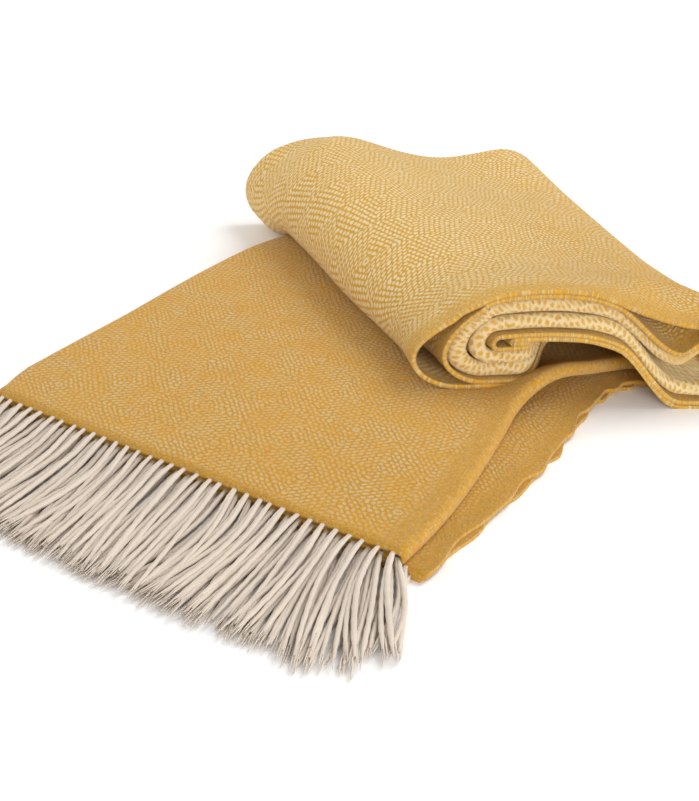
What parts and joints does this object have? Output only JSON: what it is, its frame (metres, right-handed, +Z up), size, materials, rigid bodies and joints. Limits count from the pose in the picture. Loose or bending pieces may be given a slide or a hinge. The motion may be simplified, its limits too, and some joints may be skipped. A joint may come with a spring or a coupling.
{
  "type": "folded throw blanket",
  "caption": "Fringed woven wool throw, folded lengthwise and then over into a soft pad that lies across its own flat tail",
  "frame": {"origin": "on the surface that the throw lies on, under the middle of the box round the whole throw and its fringe", "axes": "+Y from the front hem along the tail towards the pad, +Z up, +X to the near edge of the tail, the side that the pad's open end looks out over"},
  "size_m": [0.4506, 0.5843, 0.0818],
  "materials": {
    "mustard_wool": "brushed wool weave, mustard on cream, matt",
    "cream_wool": "twisted undyed wool yarn, matt"
  },
  "bodies": {
    "root": {"woven_cloth": "mustard_wool", "front_tassel_01": "cream_wool", "front_tassel_02": "cream_wool", "front_tassel_03": "cream_wool", "front_tassel_04": "cream_wool", "front_tassel_05": "cream_wool", "front_tassel_06": "cream_wool", "front_tassel_07": "cream_wool", "front_tassel_08": "cream_wool", "front_tassel_09": "cream_wool", "front_tassel_10": "cream_wool", "front_tassel_11": "cream_wool", "front_tassel_12": "cream_wool", "front_tassel_13": "cream_wool", "front_tassel_14": "cream_wool", "front_tassel_15": "cream_wool", "front_tassel_16": "cream_wool", "front_tassel_17": "cream_wool", "front_tassel_18": "cream_wool", "front_tassel_19": "cream_wool", "front_tassel_20": "cream_wool", "front_tassel_21": "cream_wool", "front_tassel_22": "cream_wool", "front_tassel_23": "cream_wool", "front_tassel_24": "cream_wool", "front_tassel_25": "cream_wool", "front_tassel_26": "cream_wool", "front_tassel_27": "cream_wool", "front_tassel_28": "cream_wool", "front_tassel_29": "cream_wool", "front_tassel_30": "cream_wool", "front_tassel_31": "cream_wool", "front_tassel_32": "cream_wool", "front_tassel_33": "cream_wool", "front_tassel_34": "cream_wool", "front_tassel_35": "cream_wool", "front_lower_tassels_1_a": "cream_wool", "front_lower_tassels_1_b": "cream_wool", "front_lower_tassels_1_c": "cream_wool", "front_lower_tassels_1_d": "cream_wool", "front_lower_tassels_2_a": "cream_wool", "front_lower_tassels_2_b": "cream_wool", "front_lower_tassels_2_c": "cream_wool", "front_lower_tassels_2_d": "cream_wool", "front_lower_tassels_3_a": "cream_wool", "front_lower_tassels_3_b": "cream_wool", "front_lower_tassels_3_c": "cream_wool", "front_lower_tassels_3_d": "cream_wool", "back_tassels_1_a": "cream_wool", "back_tassels_1_b": "cream_wool", "back_tassels_1_c": "cream_wool", "back_tassels_2_a": "cream_wool", "back_tassels_2_b": "cream_wool", "back_tassels_2_c": "cream_wool", "back_tassels_3_a": "cream_wool", "back_tassels_3_b": "cream_wool", "back_tassels_3_c": "cream_wool", "back_tassels_4_a": "cream_wool", "back_tassels_4_b": "cream_wool", "back_tassels_4_c": "cream_wool"}
  },
  "joints": []
}
